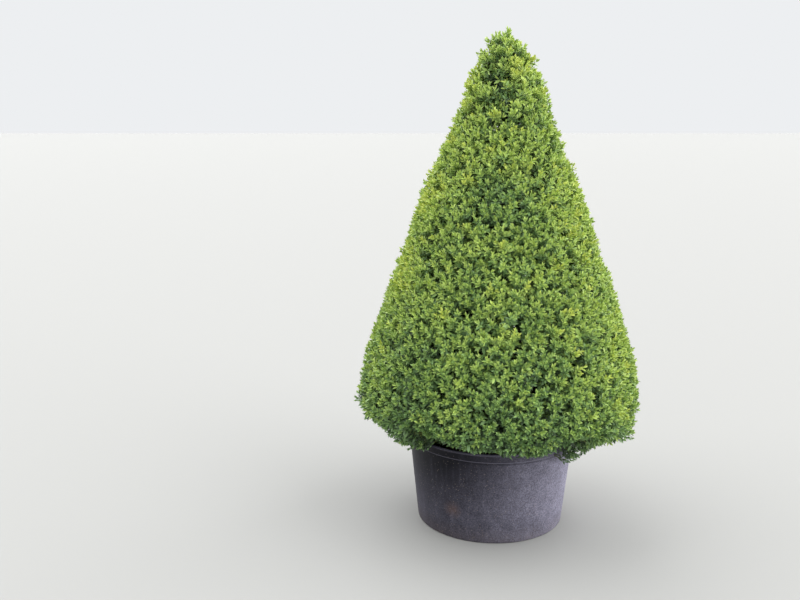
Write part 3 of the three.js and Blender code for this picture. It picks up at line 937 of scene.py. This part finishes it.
def hem_at(points):
    """Height of the lowest leaves above or below points."""
    turns = np.degrees(np.arctan2(points[..., 1], points[..., 0]))
    beyond = np.hypot(points[..., 0], points[..., 1]) - HEM_RADIUS
    return np.interp(turns, *zip(*HEM), period=360) + HEM_SLOPE * beyond


def in_the_open(corners):
    """Whether each leaf is clear of the pot and its filling, and above the lowest hem."""
    radii = np.hypot(corners[..., 0], corners[..., 1])
    heights = corners[..., 2]
    in_rim = (radii > RIM_INSIDE) & (radii < RIM_OUTSIDE) & (heights < OVER_RIM)
    in_medium = (radii < RIM_OUTSIDE) & (heights < OVER_MEDIUM)
    return ~(in_rim | in_medium | (heights < hem_at(corners))).any(axis=1)


def leader_tips(heights, points, directions, random):
    """Where the leader of each spray ends, and how much darker the spray is because of its place: painted
    shade in the hollows and painted light where it is lighter.
    """
    count = len(heights)
    loose = np.clip((heights - LOOSE_TIP_HEIGHT) / LOOSE_TIP_BLEND, 0.0, 1.0)
    proud = np.zeros(count)
    for (depth, looser), scale, shift in LUMPS:
        proud += (depth + looser * loose) * noise_at(points, scale, shift)
    proud += random.normal(0.0, 1.0, count) * (STANDING_OUT[0] + STANDING_OUT[1] * loose)
    sprigs = random.random(count) < SPRIG_SHARE[0] + SPRIG_SHARE[1] * loose
    proud += sprigs * random.uniform(*SPRIG_RANGE, count)
    hollow = noise_at(points, *HOLLOW_NOISE) < HOLLOW_LIMIT[0] + HOLLOW_LIMIT[1] * loose
    proud -= hollow * random.uniform(*HOLLOW_RANGE, count)
    inwards = np.zeros(count)
    darker = HOLLOW_SHADE * hollow
    for place, reach, amount, shade in UNEVEN:
        near = nearness(points, place, reach)
        proud += max(amount, 0.0) * near
        inwards -= min(amount, 0.0) * near
        darker += shade * near
    tips = points + np.minimum(proud, PROUDEST)[:, None] * directions
    tips[:, :2] -= np.minimum(inwards, DEEPEST)[:, None] * unit(points[:, :2] - CROWN_AXIS)
    for place, reach, drop in CLUMPS:
        tips[:, 2] -= drop * nearness(points, place, reach)
    lowest = hem_at(tips) + TIP_OVER_HEM + HEM_WAVE * noise_at(points, *HEM_NOISE)
    tips[:, 2] = np.maximum(tips[:, 2], lowest + random.uniform(*HEM_SCATTER, count))
    return tips, darker


def side_shoots(leaders, tips, directions, random):
    """Shoots round each leader in crossed pairs, as box buds are, with tips near the clipped surface."""
    across = across_from(directions, random)
    lift = np.cross(directions, across)
    sets = []
    for quarter in range(4):
        there = np.flatnonzero(random.random(len(tips)) < SIDE_SHOOT_SHARE)
        count = len(there)
        angle = 0.5 * math.pi * quarter + random.normal(0.0, SIDE_TURN_SCATTER, count)[:, None]
        beside = np.cos(angle) * across[there] + np.sin(angle) * lift[there]
        ends = tips[there] + SIDE_REACH * random.uniform(*SIDE_REACH_RANGE, count)[:, None] * beside
        level = ends[:, :2] - CROWN_AXIS
        depth = np.interp(ends[:, 2], *CROWN_OUTLINE.T) - np.linalg.norm(level, axis=1)
        move = np.clip(depth - random.uniform(0.0, SIDE_DEPTH, count), -SIDE_DEPTH, SIDE_DEPTH)
        ends[:, :2] += move[:, None] * unit(level)
        ends[:, 2] = np.maximum(ends[:, 2], hem_at(ends) + TIP_OVER_HEM)
        back = SIDE_START_BACK + random.uniform(*SIDE_START_RANGE, count)
        roots = leaders.points(there, (1 - back / leaders.lengths[there])[:, None])[:, 0]
        scatter = random.normal(0.0, SIDE_AIM_SCATTER, (count, 3))
        aims = unit(directions[there] + SIDE_LEAN * beside + scatter)
        sets.append((roots, ends, aims, leaders.mass[there], leaders.tone[there] + SIDE_SHADE))
    return shoots_to(*[np.concatenate(part) for part in zip(*sets)])


def inner_shoots(leaders, directions, random):
    """Short shaded shoots lower down on each leader, which fill the room between the sprays."""
    sets = []
    count = len(directions)
    for _ in range(INNER_SHOOT_COUNT):
        beside = across_from(directions, random)
        back = random.uniform(*INNER_START_BACK, count)
        roots = leaders.points(slice(None), (1 - back / leaders.lengths)[:, None])[:, 0]
        aims = unit(INNER_LEAN * directions + beside)
        ends = roots + random.uniform(*INNER_LENGTH, count)[:, None] * aims
        sets.append((roots, ends, aims, leaders.mass, leaders.tone))
    return shoots_to(*[np.concatenate(part) for part in zip(*sets)])


def twigs_to(leaders, boughs):
    """Twigs from the nearest bough to the root of each leader."""
    shares = np.tile(FORK_SHARES, (BOUGH_COUNT, 1))
    forks = boughs.points(slice(None), shares)
    aims = unit(forks - boughs.points(slice(None), shares - SHORT_WAY)).reshape(-1, 3)
    forks = forks.reshape(-1, 3)
    roots = leaders.curves[0]
    nearest = [np.argmin(np.linalg.norm(forks - root, axis=1)) for root in roots]
    starts = forks[nearest]
    reach = np.linalg.norm(roots - starts, axis=1)[:, None]
    leave = unit(leaders.curves[1] - roots)
    curves = [starts, starts + BEND * reach * aims[nearest], roots - BEND * reach * leave, roots]
    return Stems(curves, leaders.mass, np.zeros(len(roots)))


def boughs_from_trunk(random):
    """One bough for each shoot of the source, from the trunk to a depth inside the clipped surface."""
    heights, radii, turns, _ = places_on(CROWN_OUTLINE, BOUGH_COUNT)
    turns = turns + BOUGH_TURN_SCATTER * (random.random(BOUGH_COUNT) - 0.5)
    depth = np.minimum(BOUGH_DEPTH, BOUGH_DEPTH_SHARE * radii)
    ends = surface_point(np.maximum(heights, BOUGH_LOWEST) - BOUGH_SAG * depth, radii - depth, turns)
    level = np.linalg.norm((ends - trunk_centre(ends[:, 2]))[:, :2], axis=1)
    starts = trunk_centre(np.clip(ends[:, 2] - BOUGH_CLIMB * level, *BOUGH_STARTS))
    reach = np.linalg.norm(ends - starts, axis=1)[:, None]
    leave, arrive = [unit(outwards_at(turns) + rise * UP) for rise in BOUGH_RISES]
    curves = [starts, starts + BEND * reach * leave, ends - BEND * reach * arrive, ends]
    return Stems(curves, mass_of(heights), np.zeros(BOUGH_COUNT))


def spray_tones(heights, points, darker, random):
    """The tone of each spray's newest leaves, in steps of the list of greens."""
    count = len(heights)
    vigour = noise_at(points, *VIGOUR_NOISE) + random.normal(0.0, VIGOUR_SCATTER, count)
    tone = np.clip(TONE_MIDDLE - TONE_PER_VIGOUR * vigour, *TONE_LIMITS) + darker
    # Painted light towards +X, and painted shade and light by height
    tone = tone - PAINTED_LIGHT_TO_X * points[:, 0] + np.interp(heights, *zip(*DARKER_BY_HEIGHT))
    return tone - YELLOW_STEPS * (np.random.default_rng(YELLOW_SEED).random(count) < YELLOW_SHARE)


def grow_crown(crown):
    """The whole crown: its boughs, all its other stems with their tubes, and its leaves by kind.

    Leaves are corners, tones and masses.
    """
    boughs = boughs_from_trunk(np.random.default_rng(BOUGH_SEED))
    random = np.random.default_rng(SPRAY_SEED)
    heights, radii, turns, normals = places_on(np.concatenate([UNDERSIDE, CROWN_OUTLINE]), crown.sprays)
    turns = turns + random.uniform(-1.0, 1.0, crown.sprays) * SPRAY_SCATTER / radii
    directions = shoot_direction(heights, turns, normals, random)
    points = surface_point(heights, radii, turns)
    tips, darker = leader_tips(heights, points, directions, random)
    tone = spray_tones(heights, points, darker, random)
    inwards = unit((1 - LEADER_TURN) * directions + LEADER_TURN * outwards_at(turns))
    leaders = shoots_to(tips - LEADER_LENGTH * inwards, tips, directions, mass_of(heights), tone)
    sides = side_shoots(leaders, tips, directions, random)
    inner = inner_shoots(leaders, directions, random)
    twigs = twigs_to(leaders, boughs)
    leaves = {}
    for kind, growths in (
        ("young", ((leaders, YOUNG_PAIRS), (sides, YOUNG_PAIRS))),
        ("mature", ((leaders, MATURE_PAIRS), (sides, MATURE_PAIRS))),
        ("inner", ((inner, INNER_PAIRS), (twigs, TWIG_PAIRS), (boughs, BOUGH_PAIRS))),
    ):
        sets = [part for stems, pairs in growths for part in leaves_along(stems, pairs, crown, random)]
        leaves[kind] = [np.concatenate(part) for part in zip(*sets)]
    stems = ((twigs, TWIG_TUBE), (leaders, SHOOT_TUBE), (sides, SHOOT_TUBE), (inner, INNER_TUBE))
    return boughs, stems, leaves


def merged(parts):
    """Several lists of corners and triangles as one."""
    offset = 0
    corners, triangles = [], []
    for points, faces in parts:
        corners.append(points)
        triangles.append(faces + offset)
        offset += len(points)
    return np.concatenate(corners), np.concatenate(triangles)


def leaf_piece(name, corners, tones, greens):
    """A joined piece of leaves, each in the green that its tone falls on."""
    tone = np.clip(np.rint(tones) + 1, 0, len(greens) - 1).astype(int)
    used, index = np.unique(tone, return_inverse=True)
    index = np.repeat(index, len(LEAF_TRIANGLES))
    return piece_from_arrays(name, *joined(corners, LEAF_TRIANGLES), [greens[i] for i in used], index)


# Operators


class TOPIARY_OT_stage(bpy.types.Operator):
    """Make the pale floor, the soft light and the camera."""

    bl_idname = "topiary.stage"
    bl_label = "Stage"

    def execute(self, context):
        scene = context.scene
        settings = scene.topiary_stage
        shape = bmesh.new()
        bmesh.ops.create_grid(shape, x_segments=1, y_segments=1, size=FLOOR_REACH)
        piece_from(shape, "floor", floor_material(settings.floor))

        scene.world = bpy.data.worlds.new("soft surround")
        scene.world.use_nodes = True
        tree = scene.world.node_tree
        inputs = {"Color": (*settings.sky, 1.0), "Strength": settings.sky_strength}
        set_inputs(tree, tree.nodes["Background"], inputs)
        scene.view_settings.view_transform = "Standard"

        for name, (place, spread) in LIGHTS.items():
            light = bpy.data.lights.new(name, "SUN")
            light.angle = math.radians(spread)
            light.energy = getattr(settings, name + "_strength")
            placed(name, light).rotation_euler = Vector(place).to_track_quat("Z", "Y").to_euler()

        lens = bpy.data.cameras.new("camera")
        lens.lens = settings.focal_length
        scene.camera = placed("camera", lens)
        scene.camera.location = CAMERA_PLACE
        scene.camera.rotation_euler = (math.radians(90 - CAMERA_PITCH), 0.0, 0.0)
        return {"FINISHED"}


class TOPIARY_OT_pot(bpy.types.Operator):
    """Make the nursery pot."""

    bl_idname = "topiary.pot"
    bl_label = "Pot"

    def execute(self, context):
        settings = context.scene.topiary_pot
        pot = piece_from(turned(pot_profile(settings.wall), POT_STEPS), "tub", pot_material(settings))
        put_in_frame(pot, "pot")
        return {"FINISHED"}


class TOPIARY_OT_medium(bpy.types.Operator):
    """Make the growing medium with its bark chips."""

    bl_idname = "topiary.medium"
    bl_label = "Growing medium"

    def execute(self, context):
        settings = context.scene.topiary_pot
        medium = piece_from(medium_shape(settings.wall), "peat", medium_material(settings))
        put_in_frame(medium, "growing_medium")
        chip = plain_material("bark chip", settings.chips, 0.9)
        chips = piece_from_arrays("bark_chips", *chip_arrays(settings.wall), [chip])
        put_in_frame(chips, "growing_medium")
        return {"FINISHED"}


class TOPIARY_OT_trunk(bpy.types.Operator):
    """Make the trunk with the relief of its bark."""

    bl_idname = "topiary.trunk"
    bl_label = "Trunk"

    def execute(self, context):
        settings = context.scene.topiary_trunk
        trunk = piece_from(trunk_shape(settings), "stem", bark_material(settings))
        put_in_frame(trunk, "trunk")
        return {"FINISHED"}


class TOPIARY_OT_crown(bpy.types.Operator):
    """Grow the boughs, twigs and leaves of every mass of foliage."""

    bl_idname = "topiary.crown"
    bl_label = "Crown"

    def execute(self, context):
        crown = context.scene.topiary_crown
        boughs, stems, leaves = grow_crown(crown)
        greens = []
        for setting, roughness in GREENS.items():
            name = "box leaf, " + crown.bl_rna.properties[setting].name.lower()
            greens.append(plain_material(name, getattr(crown, setting), roughness))
        # The bough bark colour is partly painted shade: darker than box bark, as it looks inside the crown
        bark = plain_material("box bough bark", crown.bough, 0.85)
        green_bark = plain_material("green box stem", crown.twig, 0.6)
        for number, place in enumerate(MASSES):
            node = "foliage_" + place
            limbs = boughs.tubes(number, *BOUGH_TUBE)
            put_in_frame(piece_from_arrays("boughs_" + place, *limbs, [bark]), node)
            shoots = merged([kind.tubes(number, *tube) for kind, tube in stems])
            put_in_frame(piece_from_arrays("twigs_" + place, *shoots, [green_bark]), node)
            for kind, (corners, tones, masses) in leaves.items():
                picked = (masses == number) & in_the_open(corners)
                piece = leaf_piece(f"{kind}_leaves_{place}", corners[picked], tones[picked], greens)
                put_in_frame(piece, node)
        return {"FINISHED"}


class TOPIARY_PT_panel(bpy.types.Panel):
    """The topiary's operators and settings in the sidebar."""

    bl_idname = "TOPIARY_PT_panel"
    bl_label = "Box cone topiary"
    bl_space_type = "VIEW_3D"
    bl_region_type = "UI"
    bl_category = "Topiary"

    def draw(self, context):
        for operator in OPERATORS:
            self.layout.operator(operator.bl_idname)
        for name in SETTINGS:
            group = getattr(context.scene, name)
            box = self.layout.box()
            for key in group.bl_rna.properties.keys():
                if key not in ("rna_type", "name"):
                    box.prop(group, key)


SETTINGS = {
    "topiary_pot": TopiaryPotSettings,
    "topiary_trunk": TopiaryTrunkSettings,
    "topiary_crown": TopiaryCrownSettings,
    "topiary_stage": TopiaryStageSettings,
}
OPERATORS = (TOPIARY_OT_stage, TOPIARY_OT_pot, TOPIARY_OT_medium, TOPIARY_OT_trunk, TOPIARY_OT_crown)


def register():
    """Registers the classes and gives the scene its settings."""
    for name, group in SETTINGS.items():
        bpy.utils.register_class(group)
        setattr(bpy.types.Scene, name, bpy.props.PointerProperty(type=group))
    for kind in (*OPERATORS, TOPIARY_PT_panel):
        bpy.utils.register_class(kind)


def unregister():
    """Takes back what register did."""
    for kind in (TOPIARY_PT_panel, *reversed(OPERATORS)):
        bpy.utils.unregister_class(kind)
    for name, group in reversed(SETTINGS.items()):
        delattr(bpy.types.Scene, name)
        bpy.utils.unregister_class(group)


def main():
    """Makes every piece in order."""
    register()
    bpy.ops.topiary.stage()
    bpy.ops.topiary.pot()
    bpy.ops.topiary.medium()
    bpy.ops.topiary.trunk()
    bpy.ops.topiary.crown()


if __name__ == "__main__":
    main()
